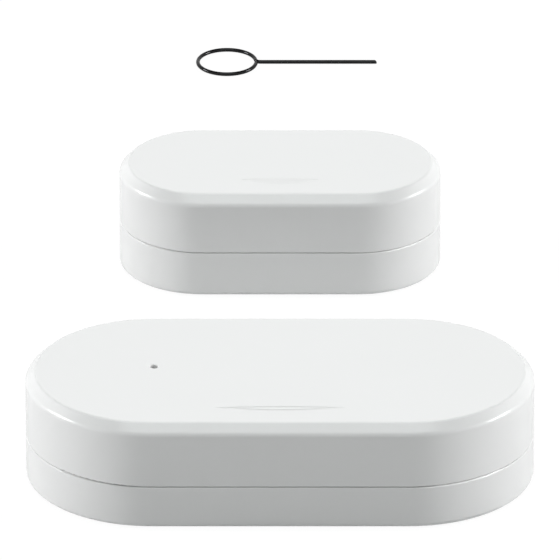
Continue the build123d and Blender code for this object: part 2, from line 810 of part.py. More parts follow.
# Reset pin: one wire bent into a ring, then out along its middle to an angled tip
tip_x = pin_ring_x - pin_ring_radius - pin_wire / 2 + pin_length
with BuildPart() as reset_pin:
    with BuildLine() as pin_path:
        ring_center = (pin_ring_x, pin_ring_y, pin_wire / 2)
        ring_sweep = pin_free_end + pin_bend_start - full_turn
        ring = CenterArc(ring_center, pin_ring_radius, -pin_free_end, ring_sweep)
        bend = JernArc(ring @ 1, ring % 1, pin_bend_radius, quarter_turn - pin_bend_start)
        rod_start = bend @ 1
        Line(rod_start, (tip_x, rod_start.Y, pin_wire / 2))
    with BuildSketch(Plane(origin=pin_path.wire() @ 0, z_dir=pin_path.wire() % 0)):
        Circle(pin_wire / 2)
    sweep()
    tip = (tip_x, rod_start.Y - pin_wire / 2, 0)
    cut_direction = (1, tan(radians(pin_tip_angle)), 0)
    split(bisect_by=Plane(origin=tip, z_dir=cut_direction), keep=Keep.BOTTOM)
save(reset_pin, "reset_pin")
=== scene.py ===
# Door and window sensor, its magnet unit and its reset pin on a pale floor. Metres, +Z up.
import bmesh
import bpy
from math import radians
from mathutils import Matrix, Vector


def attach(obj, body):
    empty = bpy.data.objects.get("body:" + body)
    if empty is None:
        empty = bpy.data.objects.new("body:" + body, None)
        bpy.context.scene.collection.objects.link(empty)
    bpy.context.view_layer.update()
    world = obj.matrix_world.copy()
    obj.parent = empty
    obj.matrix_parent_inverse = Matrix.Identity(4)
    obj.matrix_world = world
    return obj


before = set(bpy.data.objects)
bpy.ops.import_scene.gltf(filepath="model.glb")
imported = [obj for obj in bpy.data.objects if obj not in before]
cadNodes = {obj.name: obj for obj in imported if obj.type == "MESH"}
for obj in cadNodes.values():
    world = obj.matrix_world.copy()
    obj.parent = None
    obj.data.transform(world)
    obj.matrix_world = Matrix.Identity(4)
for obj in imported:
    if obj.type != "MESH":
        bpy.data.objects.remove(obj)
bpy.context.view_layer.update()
scene = bpy.context.scene
mm = 0.001
fullTurn = radians(360)
print("frame loaded,", len(cadNodes), "nodes")


# Shader building blocks

noiseMiddle = 0.5    # what a noise or a grid cell's fraction wanders about
edgeSamples = 4      # tries with which a rounded edge is looked for


def feed(tree, value, socket):
    if isinstance(value, bpy.types.NodeSocket):
        tree.links.new(value, socket)
    else:
        socket.default_value = value


def addMath(tree, operation, first, second=0.0, third=0.0, clamp=False):
    node = tree.nodes.new("ShaderNodeMath")
    node.operation = operation
    node.use_clamp = clamp
    for value, socket in zip((first, second, third), node.inputs):
        feed(tree, value, socket)
    return node.outputs["Value"]


def addVectorMath(tree, operation, first, second):
    node = tree.nodes.new("ShaderNodeVectorMath")
    node.operation = operation
    feed(tree, first, node.inputs[0])
    feed(tree, second, node.inputs["Scale"] if operation == "SCALE" else node.inputs[1])
    return node.outputs["Value"] if operation in ("LENGTH", "DOT_PRODUCT") else node.outputs["Vector"]


def addRange(tree, value, fromLow, fromHigh, toLow=0.0, toHigh=1.0):
    node = tree.nodes.new("ShaderNodeMapRange")
    node.interpolation_type = "SMOOTHSTEP"
    names = ("Value", "From Min", "From Max", "To Min", "To Max")
    for name, amount in zip(names, (value, fromLow, fromHigh, toLow, toHigh)):
        feed(tree, amount, node.inputs[name])
    return node.outputs["Result"]


def addNoise(tree, vector, scale, detail=2.0):
    node = tree.nodes.new("ShaderNodeTexNoise")
    feed(tree, vector, node.inputs["Vector"])
    feed(tree, scale, node.inputs["Scale"])
    node.inputs["Detail"].default_value = detail
    return node.outputs[0]


def addCells(tree, vector, scale):
    # how far a point is from the nearest of many scattered ones
    node = tree.nodes.new("ShaderNodeTexVoronoi")
    feed(tree, vector, node.inputs["Vector"])
    feed(tree, scale, node.inputs["Scale"])
    return node.outputs["Distance"]


def addTurn(tree, vector, turn):
    node = tree.nodes.new("ShaderNodeMapping")
    feed(tree, vector, node.inputs["Vector"])
    node.inputs["Rotation"].default_value = turn
    return node.outputs["Vector"]


def splitAxes(tree, vector):
    node = tree.nodes.new("ShaderNodeSeparateXYZ")
    feed(tree, vector, node.inputs["Vector"])
    return node.outputs["X"], node.outputs["Y"], node.outputs["Z"]


def joinAxes(tree, x, y, z):
    node = tree.nodes.new("ShaderNodeCombineXYZ")
    for value, socket in zip((x, y, z), node.inputs):
        feed(tree, value, socket)
    return node.outputs["Vector"]


def mixColors(tree, factor, first, second):
    node = tree.nodes.new("ShaderNodeMix")
    node.data_type = "RGBA"
    for value, socket in zip((factor, first, second), (0, 6, 7)):    # the factor and the two colours
        feed(tree, value, node.inputs[socket])
    return node.outputs[2]


def mixValues(tree, factor, first, second):
    node = tree.nodes.new("ShaderNodeMix")
    for value, socket in zip((factor, first, second), (0, 2, 3)):    # the factor and the two plain values
        feed(tree, value, node.inputs[socket])
    return node.outputs[0]


def mixShaders(tree, factor, first, second):
    node = tree.nodes.new("ShaderNodeMixShader")
    for value, socket in zip((factor, first, second), node.inputs):
        feed(tree, value, socket)
    return node.outputs["Shader"]


def addRounded(tree, radius):
    # the surface's normal as it would be with rounded edges
    node = tree.nodes.new("ShaderNodeBevel")
    node.samples = edgeSamples
    feed(tree, radius, node.inputs["Radius"])
    return node.outputs["Normal"]


def addBump(tree, height, depth, softEdge=None):
    # the height's full range stands for the depth, in metres
    node = tree.nodes.new("ShaderNodeBump")
    node.inputs["Strength"].default_value = 1.0
    node.inputs["Distance"].default_value = depth
    feed(tree, height, node.inputs["Height"])
    if softEdge:
        feed(tree, useGroup(tree, softEdges, Radius=softEdge)["Normal"], node.inputs["Normal"])
    return node.outputs["Normal"]


def newGroup(name, inputs, outputs):
    tree = bpy.data.node_groups.new(name, "ShaderNodeTree")
    for label, kind, value in inputs:
        socket = tree.interface.new_socket(label, in_out="INPUT", socket_type="NodeSocket" + kind)
        if value is not None:
            socket.default_value = value
    for label, kind in outputs:
        tree.interface.new_socket(label, in_out="OUTPUT", socket_type="NodeSocket" + kind)
    return tree, tree.nodes.new("NodeGroupInput").outputs, tree.nodes.new("NodeGroupOutput").inputs


def useGroup(tree, group, **inputs):
    node = tree.nodes.new("ShaderNodeGroup")
    node.node_tree = group
    for name, value in inputs.items():
        feed(tree, value, node.inputs[name])
    return node.outputs


# Effects that several materials share

def makeToneDrift():
    # a colour that is a little lighter here and darker there
    tree, given, result = newGroup(
        "toneDrift",
        [("Vector", "Vector", None), ("Color", "Color", None), ("Scale", "Float", 60.0),
         ("Amount", "Float", 0.01)],
        [("Color", "Color")],
    )
    wander = addMath(tree, "SUBTRACT", addNoise(tree, given["Vector"], given["Scale"]), noiseMiddle)
    gain = addMath(tree, "MULTIPLY_ADD", wander, given["Amount"], 1.0)
    feed(tree, addVectorMath(tree, "SCALE", given["Color"], gain), result["Color"])
    return tree


grainDetail = {"fine": 3.0, "slow": 1.0}


def makeMoldedGrain():
    # the fine texture of a spark-finished mould over a slow unevenness of the wall
    tree, given, result = newGroup(
        "moldedGrain",
        [("Vector", "Vector", None), ("Fine", "Float", 5000.0), ("Slow", "Float", 120.0),
         ("Balance", "Float", 0.5)],
        [("Height", "Float")],
    )
    fine = addNoise(tree, given["Vector"], given["Fine"], grainDetail["fine"])
    slow = addNoise(tree, given["Vector"], given["Slow"], grainDetail["slow"])
    feed(tree, mixValues(tree, given["Balance"], fine, slow), result["Height"])
    return tree


smears = {"bendScale": 0.4, "bendReach": 4.0 * mm, "detail": 4.0, "from": 0.42, "full": 0.66}


def makeHandling():
    # faint smears left by fingers, which change only the gloss
    tree, given, result = newGroup(
        "handling",
        [("Vector", "Vector", None), ("Scale", "Float", 140.0), ("Clean", "Float", 0.2),
         ("Smeared", "Float", 0.3)],
        [("Roughness", "Float")],
    )
    bend = addNoise(tree, given["Vector"], addMath(tree, "MULTIPLY", given["Scale"], smears["bendScale"]))
    bend = addVectorMath(tree, "SCALE", bend, smears["bendReach"])
    bent = addVectorMath(tree, "ADD", given["Vector"], bend)
    smear = addNoise(tree, bent, given["Scale"], smears["detail"])
    gloss = addRange(tree, smear, smears["from"], smears["full"], given["Clean"], given["Smeared"])
    feed(tree, gloss, result["Roughness"])
    return tree


wear = {"flat": 0.97, "edge": 0.80, "detail": 3.0, "patchFrom": 0.35, "patchFull": 0.6}


def makeEdgeWear():
    # where the rounded normal leaves the true one, an edge is near
    tree, given, result = newGroup(
        "edgeWear",
        [("Vector", "Vector", None), ("Radius", "Float", 0.2 * mm), ("Breakup", "Float", 900.0)],
        [("Mask", "Float")],
    )
    flat = tree.nodes.new("ShaderNodeNewGeometry").outputs["Normal"]
    likeness = addVectorMath(tree, "DOT_PRODUCT", addRounded(tree, given["Radius"]), flat)
    edge = addRange(tree, likeness, wear["flat"], wear["edge"])
    patches = addNoise(tree, given["Vector"], given["Breakup"], wear["detail"])
    patches = addRange(tree, patches, wear["patchFrom"], wear["patchFull"])
    feed(tree, addMath(tree, "MULTIPLY", edge, patches), result["Mask"])
    return tree


scratches = {"detail": 3.0, "dark": 0.3, "bright": 0.7}


def makeBrushing():
    # long scratches along X of the given vector
    tree, given, result = newGroup(
        "brushing",
        [("Vector", "Vector", None), ("Scale", "Float", 9000.0), ("Length", "Float", 0.03)],
        [("Height", "Float"), ("Tone", "Float")],
    )
    x, y, z = splitAxes(tree, given["Vector"])
    drawn = joinAxes(tree, addMath(tree, "MULTIPLY", x, given["Length"]), y, z)
    lines = addNoise(tree, drawn, given["Scale"], scratches["detail"])
    feed(tree, lines, result["Height"])
    feed(tree, addRange(tree, lines, scratches["dark"], scratches["bright"]), result["Tone"])
    return tree


def makeStripe():
    # 1 where the value is within a half width of the centre
    tree, given, result = newGroup(
        "stripe",
        [("Value", "Float", 0.0), ("Center", "Float", 0.0), ("Half", "Float", 1.0 * mm),
         ("Soft", "Float", 0.02 * mm)],
        [("Mask", "Float")],
    )
    away = addMath(tree, "ABSOLUTE", addMath(tree, "SUBTRACT", given["Value"], given["Center"]))
    outer = addMath(tree, "ADD", given["Half"], given["Soft"])
    inner = addMath(tree, "SUBTRACT", given["Half"], given["Soft"])
    feed(tree, addRange(tree, away, outer, inner), result["Mask"])
    return tree


def makeSoftEdges():
    # sharp sheet edges catch the light as slightly rounded ones do
    tree, given, result = newGroup("softEdges", [("Radius", "Float", 0.05 * mm)], [("Normal", "Vector")])
    feed(tree, addRounded(tree, given["Radius"]), result["Normal"])
    return tree


copper = {
    "laneShift": 0.37, "bareShare": 0.45, "lineOuter": 0.17, "lineInner": 0.13,
    "lengthSeed": 3.0, "crossSeed": 8.0, "viaSpread": 0.4, "viaOuter": 0.15, "viaInner": 0.12,
}


def addRuns(tree, along, across, pitch, length, seed):
    # straight tracks on a grid, each broken into runs that are there or not
    lane = addMath(tree, "DIVIDE", across, pitch)
    lanes = addMath(tree, "FLOOR", lane)
    step = addMath(tree, "MULTIPLY_ADD", lanes, copper["laneShift"], addMath(tree, "DIVIDE", along, length))
    dice = tree.nodes.new("ShaderNodeTexWhiteNoise")
    dice.noise_dimensions = "3D"
    feed(tree, joinAxes(tree, lanes, addMath(tree, "FLOOR", step), seed), dice.inputs["Vector"])
    there = addMath(tree, "GREATER_THAN", dice.outputs["Value"], copper["bareShare"])
    line = addMath(tree, "SUBTRACT", addMath(tree, "FRACT", lane), noiseMiddle)
    line = addRange(tree, addMath(tree, "ABSOLUTE", line), copper["lineOuter"], copper["lineInner"])
    return addMath(tree, "MULTIPLY", there, line)


def makeTracks():
    # copper tracks under the mask of a circuit board, and the round vias at their ends
    tree, given, result = newGroup(
        "tracks",
        [("Vector", "Vector", None), ("Pitch", "Float", 0.64 * mm), ("Run", "Float", 5.0 * mm)],
        [("Track", "Float"), ("Via", "Float")],
    )
    x, y, z = splitAxes(tree, given["Vector"])
    lengthways = addRuns(tree, x, y, given["Pitch"], given["Run"], copper["lengthSeed"])
    crossways = addRuns(tree, y, x, given["Pitch"], given["Run"], copper["crossSeed"])
    feed(tree, addMath(tree, "MAXIMUM", lengthways, crossways), result["Track"])
    spacing = addMath(tree, "DIVIDE", copper["viaSpread"], given["Pitch"])
    dots = addCells(tree, joinAxes(tree, x, y, 0.0), spacing)
    feed(tree, addRange(tree, dots, copper["viaOuter"], copper["viaInner"]), result["Via"])
    return tree


toneDrift = makeToneDrift()
moldedGrain = makeMoldedGrain()
handling = makeHandling()
edgeWear = makeEdgeWear()
brushing = makeBrushing()
stripe = makeStripe()
softEdges = makeSoftEdges()
tracks = makeTracks()
print("shared effects built")


plasticIor = 1.5


def startMaterial(name, sockets):
    material = bpy.data.materials.new(name)
    material.use_nodes = True
    shader = material.node_tree.nodes["Principled BSDF"]
    for label, value in sockets.items():
        shader.inputs[label].default_value = value
    place = material.node_tree.nodes.new("ShaderNodeTexCoord").outputs["Object"]
    return material, material.node_tree, shader.inputs, place


def addTone(tree, place, look):
    return useGroup(tree, toneDrift, Vector=place, Color=look["color"], Scale=look["drift"],
                    Amount=look["driftAmount"])["Color"]


def addGloss(tree, place, look):
    return useGroup(tree, handling, Vector=place, Scale=look["smear"], Clean=look["clean"],
                    Smeared=look["smeared"])["Roughness"]


def addGrain(tree, place, look):
    height = useGroup(tree, moldedGrain, Vector=place, Fine=look["grain"], Slow=look["sink"],
                      Balance=look["sinkShare"])["Height"]
    return addBump(tree, height, look["depth"], look.get("softEdge"))


# Moulded plastics. "drift", "grain", "sink" and "smear" are patterns per metre, "clean" and "smeared" the
# roughness between and on the smears, and "softEdge" rounds the look of edges that are sharp in the mesh
moldedLooks = {
    "whiteCasing": {
        "nodes": ("sensor_front_cover", "sensor_back_cover", "magnet_front_cover", "magnet_back_cover"),
        "color": (0.862, 0.862, 0.862, 1), "drift": 55, "driftAmount": 0.012,
        "grain": 5200, "sink": 110, "sinkShare": 0.35, "depth": 0.003 * mm,
        "clean": 0.20, "smeared": 0.27, "smear": 130,
    },
    "trayPlastic": {
        "nodes": ("battery_tray",),
        "color": (0.800, 0.810, 0.800, 1), "drift": 90, "driftAmount": 0.05,
        "grain": 3600, "sink": 160, "sinkShare": 0.4, "depth": 0.012 * mm,
        "clean": 0.42, "smeared": 0.52, "smear": 200, "softEdge": 0.15 * mm,
    },
    "switchPlastic": {
        "nodes": ("reset_switch_base",),
        "color": (0.035, 0.036, 0.038, 1), "drift": 600, "driftAmount": 0.3,
        "grain": 9000, "sink": 900, "sinkShare": 0.3, "depth": 0.006 * mm,
        "clean": 0.38, "smeared": 0.50, "smear": 700, "softEdge": 0.06 * mm,
    },
    "plungerPlastic": {
        "nodes": ("reset_switch_plunger",),
        "color": (0.700, 0.660, 0.520, 1), "drift": 800, "driftAmount": 0.08,
        "grain": 12000, "sink": 1200, "sinkShare": 0.3, "depth": 0.003 * mm,
        "clean": 0.30, "smeared": 0.40, "smear": 900,
    },
}


def makeMolded(name, look):
    material, tree, shader, place = startMaterial(name, {"IOR": plasticIor})
    feed(tree, addTone(tree, place, look), shader["Base Color"])
    feed(tree, addGloss(tree, place, look), shader["Roughness"])
    feed(tree, addGrain(tree, place, look), shader["Normal"])
    return material


# Metals. The lines of a drawn or rolled surface run along "grainAxis", "worn" is the tone of rubbed edges
metalLooks = {
    "paintedDarkReflectionWire": {
        # the pin's near-black colour is painted dark reflection: polished steel wire made to look as if it
        # mirrored a dark room
        "nodes": ("reset_pin",),
        "color": (0.020, 0.020, 0.021, 1), "worn": (0.10, 0.10, 0.10, 1), "drift": 400, "driftAmount": 0.25,
        "grainAxis": "X", "lines": 12000, "lineLength": 0.05, "lineTone": 0.10, "depth": 0.001 * mm,
        "clean": 0.08, "smeared": 0.16, "smear": 400, "softEdge": 0.05 * mm,
    },
    "nickelStrip": {
        "nodes": ("negative_contact", "positive_contact", "bridge_contact"),
        "color": (0.750, 0.740, 0.710, 1), "worn": (0.83, 0.82, 0.80, 1), "drift": 300, "driftAmount": 0.12,
        "grainAxis": "Y", "lines": 9000, "lineLength": 0.03, "lineTone": 0.3, "depth": 0.003 * mm,
        "clean": 0.22, "smeared": 0.36, "smear": 350, "softEdge": 0.08 * mm,
    },
    "springWire": {
        "nodes": ("negative_spring", "bridge_spring"),
        "color": (0.720, 0.710, 0.690, 1), "worn": (0.84, 0.83, 0.82, 1), "drift": 500, "driftAmount": 0.15,
        "grainAxis": "X", "lines": 9000, "lineLength": 0.3, "lineTone": 0.25, "depth": 0.002 * mm,
        "clean": 0.18, "smeared": 0.32, "smear": 500, "softEdge": 0.04 * mm,
    },
    "tinSheet": {
        "nodes": ("radio_shield", "reset_switch_dome", "reset_switch_cover"),
        "color": (0.660, 0.670, 0.680, 1), "worn": (0.78, 0.78, 0.78, 1), "drift": 250, "driftAmount": 0.12,
        "grainAxis": "X", "lines": 7000, "lineLength": 0.04, "lineTone": 0.3, "depth": 0.004 * mm,
        "clean": 0.26, "smeared": 0.42, "smear": 260, "softEdge": 0.10 * mm,
    },
    "bladeSteel": {
        "nodes": ("reed_fixed_blade", "reed_moving_blade", "reed_lead"),
        "color": (0.620, 0.610, 0.580, 1), "worn": (0.76, 0.75, 0.72, 1), "drift": 500, "driftAmount": 0.15,
        "grainAxis": "X", "lines": 11000, "lineLength": 0.03, "lineTone": 0.3, "depth": 0.002 * mm,
        "clean": 0.24, "smeared": 0.38, "smear": 500, "softEdge": 0.05 * mm,
    },
    "magnetNickel": {
        "nodes": ("bar_magnet",),
        "color": (0.700, 0.695, 0.680, 1), "worn": (0.50, 0.49, 0.47, 1), "drift": 120, "driftAmount": 0.10,
        "grainAxis": "Y", "lines": 2600, "lineLength": 0.6, "lineTone": 0.15, "depth": 0.006 * mm,
        "clean": 0.16, "smeared": 0.34, "smear": 180, "softEdge": 0.12 * mm,
    },
    "solderTin": {
        "nodes": (),
        "color": (0.700, 0.705, 0.710, 1), "worn": (0.82, 0.82, 0.82, 1), "drift": 900, "driftAmount": 0.15,
        "grainAxis": "Z", "lines": 3000, "lineLength": 1.0, "lineTone": 0.2, "depth": 0.010 * mm,
        "clean": 0.22, "smeared": 0.40, "smear": 900, "softEdge": 0.04 * mm,
    },
    "goldFlash": {
        "nodes": (),
        "color": (0.830, 0.620, 0.300, 1), "worn": (0.90, 0.72, 0.42, 1), "drift": 500, "driftAmount": 0.12,
        "grainAxis": "Y", "lines": 6000, "lineLength": 0.1, "lineTone": 0.25, "depth": 0.003 * mm,
        "clean": 0.24, "smeared": 0.38, "smear": 500, "softEdge": 0.03 * mm,
    },
}


grainTurns = {"X": (0, 0, 0), "Y": (0, 0, radians(90)), "Z": (0, radians(90), 0)}
wornShare = 0.6


def makeMetal(name, look):
    material, tree, shader, place = startMaterial(name, {"Metallic": 1.0})
    turned = addTurn(tree, place, grainTurns[look["grainAxis"]])
    brush = useGroup(tree, brushing, Vector=turned, Scale=look["lines"], Length=look["lineLength"])
    worn = useGroup(tree, edgeWear, Vector=place, Radius=look["softEdge"])["Mask"]
    worn = addMath(tree, "MULTIPLY", worn, wornShare)
    bright = addMath(tree, "MULTIPLY_ADD", brush["Tone"], look["lineTone"], worn, clamp=True)
    feed(tree, mixColors(tree, bright, addTone(tree, place, look), look["worn"]), shader["Base Color"])
    feed(tree, addGloss(tree, place, look), shader["Roughness"])
    feed(tree, addBump(tree, brush["Height"], look["depth"], look["softEdge"]), shader["Normal"])
    return material


# Closed-cell foam of the adhesive pads, with painted shade that darkens the pits of its pores
foam = {
    "nodes": ("sensor_pad", "magnet_pad"),
    "color": (0.780, 0.780, 0.760, 1), "poreShade": (0.60, 0.60, 0.58, 1), "drift": 80, "driftAmount": 0.04,
    "cells": 4200, "poreEdge": 0.25, "poreCore": 0.05, "depth": 0.06 * mm, "ior": 1.4,
    "clean": 0.78, "smeared": 0.90, "smear": 300,
}


def makeFoam(name, look):
    material, tree, shader, place = startMaterial(name, {"IOR": look["ior"]})
    bubbles = addCells(tree, place, look["cells"])
    # painted shade: the pits of the pores, where the bump sinks, are darkened in the colour
    poreShadeMask = addRange(tree, bubbles, look["poreEdge"], look["poreCore"])
    feed(tree, mixColors(tree, poreShadeMask, addTone(tree, place, look), look["poreShade"]), shader["Base Color"])
    feed(tree, addGloss(tree, place, look), shader["Roughness"])
    feed(tree, addBump(tree, bubbles, look["depth"]), shader["Normal"])
    return material


# Nickel-plated cell cans: fine rings around the can, and darker rubbed edges
canLook = {
    "nodes": ("front_cell_can", "rear_cell_can"),
    "color": (0.740, 0.735, 0.720, 1), "ring": (0.52, 0.51, 0.50, 1), "drift": 150, "driftAmount": 0.10,
    "lines": 14000, "aroundShare": 0.02, "ringFrom": 0.35, "ringFull": 0.65, "ringTone": 0.4,
    "depth": 0.002 * mm,
    "clean": 0.16, "smeared": 0.32, "smear": 260, "softEdge": 0.08 * mm,
}


def makeCan(name, look):
    material, tree, shader, place = startMaterial(name, {"Metallic": 1.0})
    x, y, z = splitAxes(tree, place)
    around = joinAxes(tree, x, addMath(tree, "MULTIPLY", y, look["aroundShare"]),
                      addMath(tree, "MULTIPLY", z, look["aroundShare"]))
    rings = addNoise(tree, around, look["lines"])
    worn = useGroup(tree, edgeWear, Vector=place, Radius=look["softEdge"])["Mask"]
    dark = addRange(tree, rings, look["ringFrom"], look["ringFull"])
    dark = addMath(tree, "MAXIMUM", addMath(tree, "MULTIPLY", dark, look["ringTone"]), worn)
    feed(tree, mixColors(tree, dark, addTone(tree, place, look), look["ring"]), shader["Base Color"])
    feed(tree, addGloss(tree, place, look), shader["Roughness"])
    feed(tree, addBump(tree, rings, look["depth"]), shader["Normal"])
    return material


# Printed sleeve of a cell, read from its plus end: a pale band with a plus sign, two thin lines, a third one
# and a minus sign. Both signs show three times around it
sleeveLook = {
    "color": (0.035, 0.085, 0.160, 1), "band": (0.62, 0.64, 0.66, 1), "ink": (0.02, 0.03, 0.05, 1),
    "line": (0.70, 0.72, 0.74, 1), "drift": 120, "driftAmount": 0.08,
    "bandEdge": 9.0 * mm, "lineAt": (10.2 * mm, 11.0 * mm, 33.5 * mm), "lineHalf": 0.16 * mm,
    "plusAt": 4.6 * mm, "minusAt": 38.0 * mm, "markReach": 1.7 * mm, "markHalf": 0.36 * mm,
    "radius": 5.25 * mm, "axisZ": 7.55 * mm, "timesAround": 3,
    "clean": 0.24, "smeared": 0.36, "smear": 220, "edgeSoft": 0.03 * mm,
    "wrinkle": 350, "wrinkleStretch": 0.25, "depth": 0.02 * mm,
}
cells = {
    "front": {"node": "front_cell_sleeve", "y": -5.4 * mm, "plusEnd": 29.5 * mm, "side": -1},
    "rear": {"node": "rear_cell_sleeve", "y": 5.4 * mm, "plusEnd": -14.8 * mm, "side": 1},
}


def makeSleeve(name, cell, look):
    material, tree, shader, place = startMaterial(name, {"IOR": plasticIor})
    x, y, z = splitAxes(tree, place)
    depth = addMath(tree, "MULTIPLY", addMath(tree, "SUBTRACT", x, cell["plusEnd"]), cell["side"])
    angle = addMath(tree, "ARCTAN2", addMath(tree, "SUBTRACT", y, cell["y"]),
                    addMath(tree, "SUBTRACT", look["axisZ"], z))
    share = fullTurn / look["timesAround"]
    turn = addMath(tree, "WRAP", angle, share / 2, -share / 2)
    arc = addMath(tree, "MULTIPLY", turn, look["radius"])

    def within(value, center, half):
        return useGroup(tree, stripe, Value=value, Center=center, Half=half, Soft=look["edgeSoft"])["Mask"]

    def mark(at, alongHalf, aroundHalf):
        return addMath(tree, "MULTIPLY", within(depth, at, alongHalf), within(arc, 0.0, aroundHalf))

    plus = addMath(tree, "MAXIMUM", mark(look["plusAt"], look["markReach"], look["markHalf"]),
                   mark(look["plusAt"], look["markHalf"], look["markReach"]))
    minus = mark(look["minusAt"], look["markHalf"], look["markReach"])
    lines = minus
    for at in look["lineAt"]:
        lines = addMath(tree, "MAXIMUM", lines, within(depth, at, look["lineHalf"]))
    color = mixColors(tree, within(depth, 0.0, look["bandEdge"]), addTone(tree, place, look), look["band"])
    color = mixColors(tree, lines, color, look["line"])
    feed(tree, mixColors(tree, plus, color, look["ink"]), shader["Base Color"])
    feed(tree, addGloss(tree, place, look), shader["Roughness"])
    stretched = joinAxes(tree, addMath(tree, "MULTIPLY", x, look["wrinkleStretch"]), y, z)
    feed(tree, addBump(tree, addNoise(tree, stretched, look["wrinkle"]), look["depth"]), shader["Normal"])
    return material


# Circuit boards: solder mask over tracks, tinned vias, and bare laminate at the edges
boardLooks = {
    "greenBoard": {
        "nodes": ("main_board",),
        "color": (0.025, 0.190, 0.085, 1), "track": (0.050, 0.300, 0.140, 1),
        "laminate": (0.42, 0.40, 0.22, 1), "via": (0.72, 0.72, 0.68, 1),
        "pitch": 0.9 * mm, "run": 6.0 * mm, "drift": 200, "driftAmount": 0.10,
        "clean": 0.26, "smeared": 0.40, "smear": 300, "depth": 0.03 * mm, "softEdge": 0.05 * mm,
    },
    "darkModule": {
        "nodes": ("radio_module_board",),
        "color": (0.020, 0.035, 0.090, 1), "track": (0.040, 0.065, 0.150, 1),
        "laminate": (0.40, 0.36, 0.20, 1), "via": (0.80, 0.62, 0.32, 1),
        "pitch": 0.6 * mm, "run": 3.0 * mm, "drift": 300, "driftAmount": 0.10,
        "clean": 0.24, "smeared": 0.38, "smear": 400, "depth": 0.03 * mm, "softEdge": 0.05 * mm,
    },
}


boardEdge = {"flat": 0.6, "upright": 0.4, "addedRoughness": 0.35}


def makeBoard(name, look):
    material, tree, shader, place = startMaterial(name, {"IOR": plasticIor})
    etched = useGroup(tree, tracks, Vector=place, Pitch=look["pitch"], Run=look["run"])
    color = mixColors(tree, etched["Track"], addTone(tree, place, look), look["track"])
    color = mixColors(tree, etched["Via"], color, look["via"])
    facing = tree.nodes.new("ShaderNodeTexCoord").outputs["Normal"]
    upright = addMath(tree, "ABSOLUTE", splitAxes(tree, facing)[2])
    edge = addRange(tree, upright, boardEdge["flat"], boardEdge["upright"])
    feed(tree, mixColors(tree, edge, color, look["laminate"]), shader["Base Color"])
    flat = addMath(tree, "SUBTRACT", 1.0, edge)
    feed(tree, addMath(tree, "MULTIPLY", etched["Via"], flat), shader["Metallic"])
    gloss = addGloss(tree, place, look)
    gloss = addMath(tree, "MULTIPLY_ADD", edge, boardEdge["addedRoughness"], gloss, clamp=True)
    feed(tree, gloss, shader["Roughness"])
    height = addMath(tree, "MULTIPLY", addMath(tree, "ADD", etched["Track"], etched["Via"]), flat)
    feed(tree, addBump(tree, height, look["depth"], look["softEdge"]), shader["Normal"])
    return material


# Parts with tinned ends or legs: the body reaches "half" to each side of "center" along "axis"
endedLooks = {
    "blackPackage": {
        "nodes": ("voltage_regulator",), "axis": 1, "center": -5.5 * mm, "half": 2.04 * mm,
        "color": (0.028, 0.028, 0.031, 1), "stripe": (0.07, 0.07, 0.075, 1), "stripeAxis": 0,
        "stripeAt": -26.3 * mm, "stripeHalf": 0.12 * mm,
        "grain": 14000, "sink": 1500, "sinkShare": 0.2, "depth": 0.010 * mm,
    },
    "amberCapacitor": {
        "nodes": ("storage_capacitor",), "axis": 0, "center": -24.8 * mm, "half": 1.50 * mm,
        "color": (0.700, 0.420, 0.060, 1), "stripe": (0.20, 0.09, 0.02, 1), "stripeAxis": 0,
        "stripeAt": -25.85 * mm, "stripeHalf": 0.28 * mm,
        "grain": 9000, "sink": 1200, "sinkShare": 0.3, "depth": 0.008 * mm,
    },
    "ceramicChip": {
        "nodes": ("chip_parts",), "axis": 0, "center": -30.8 * mm, "half": 0.50 * mm,
        "color": (0.340, 0.250, 0.170, 1), "stripe": (0.30, 0.21, 0.14, 1), "stripeAxis": 1,
        "stripeAt": 0.0, "stripeHalf": 0.6 * mm,
        "grain": 12000, "sink": 2500, "sinkShare": 0.3, "depth": 0.010 * mm,
    },
    "ledLens": {
        "nodes": ("status_led",), "axis": 0, "center": -18.3 * mm, "half": 0.68 * mm,
        "color": (0.860, 0.880, 0.780, 1), "stripe": (0.78, 0.70, 0.30, 1), "stripeAxis": 0,
        "stripeAt": -18.3 * mm, "stripeHalf": 0.25 * mm,
        "grain": 6000, "sink": 1500, "sinkShare": 0.5, "depth": 0.004 * mm,
    },
}
endedFinish = {
    "drift": 900, "driftAmount": 0.12, "clean": 0.34, "smeared": 0.48, "smear": 900,
    "softEdge": 0.06 * mm, "tin": (0.74, 0.74, 0.75, 1), "tinGloss": 0.28, "edgeSoft": 0.03 * mm,
}


def makeEnded(name, look):
    look = {**endedFinish, **look}
    material, tree, shader, place = startMaterial(name, {"IOR": plasticIor})
    axes = splitAxes(tree, place)
    body = useGroup(tree, stripe, Value=axes[look["axis"]], Center=look["center"], Half=look["half"],
                    Soft=look["edgeSoft"])["Mask"]
    printed = useGroup(tree, stripe, Value=axes[look["stripeAxis"]], Center=look["stripeAt"],
                       Half=look["stripeHalf"], Soft=look["edgeSoft"])["Mask"]
    color = mixColors(tree, printed, addTone(tree, place, look), look["stripe"])
    feed(tree, mixColors(tree, body, look["tin"], color), shader["Base Color"])
    feed(tree, addMath(tree, "SUBTRACT", 1.0, body), shader["Metallic"])
    feed(tree, mixValues(tree, body, look["tinGloss"], addGloss(tree, place, look)), shader["Roughness"])
    feed(tree, addGrain(tree, place, look), shader["Normal"])
    return material


# Drawn glass of the reed switch, with faint long streaks
glass = {
    "nodes": ("reed_glass",), "tint": (0.76, 0.88, 0.76, 1), "ior": 1.5,
    "streaks": 2500, "streakLength": 0.05, "depth": 0.004 * mm, "clean": 0.03, "smeared": 0.09, "smear": 500,
}


def makeGlass(name, look):
    sockets = {"Transmission Weight": 1.0, "IOR": look["ior"], "Metallic": 0.0, "Base Color": look["tint"]}
    material, tree, shader, place = startMaterial(name, sockets)
    streaks = useGroup(tree, brushing, Vector=place, Scale=look["streaks"], Length=look["streakLength"])
    feed(tree, addGloss(tree, place, look), shader["Roughness"])
    feed(tree, addBump(tree, streaks["Height"], look["depth"]), shader["Normal"])
    return material


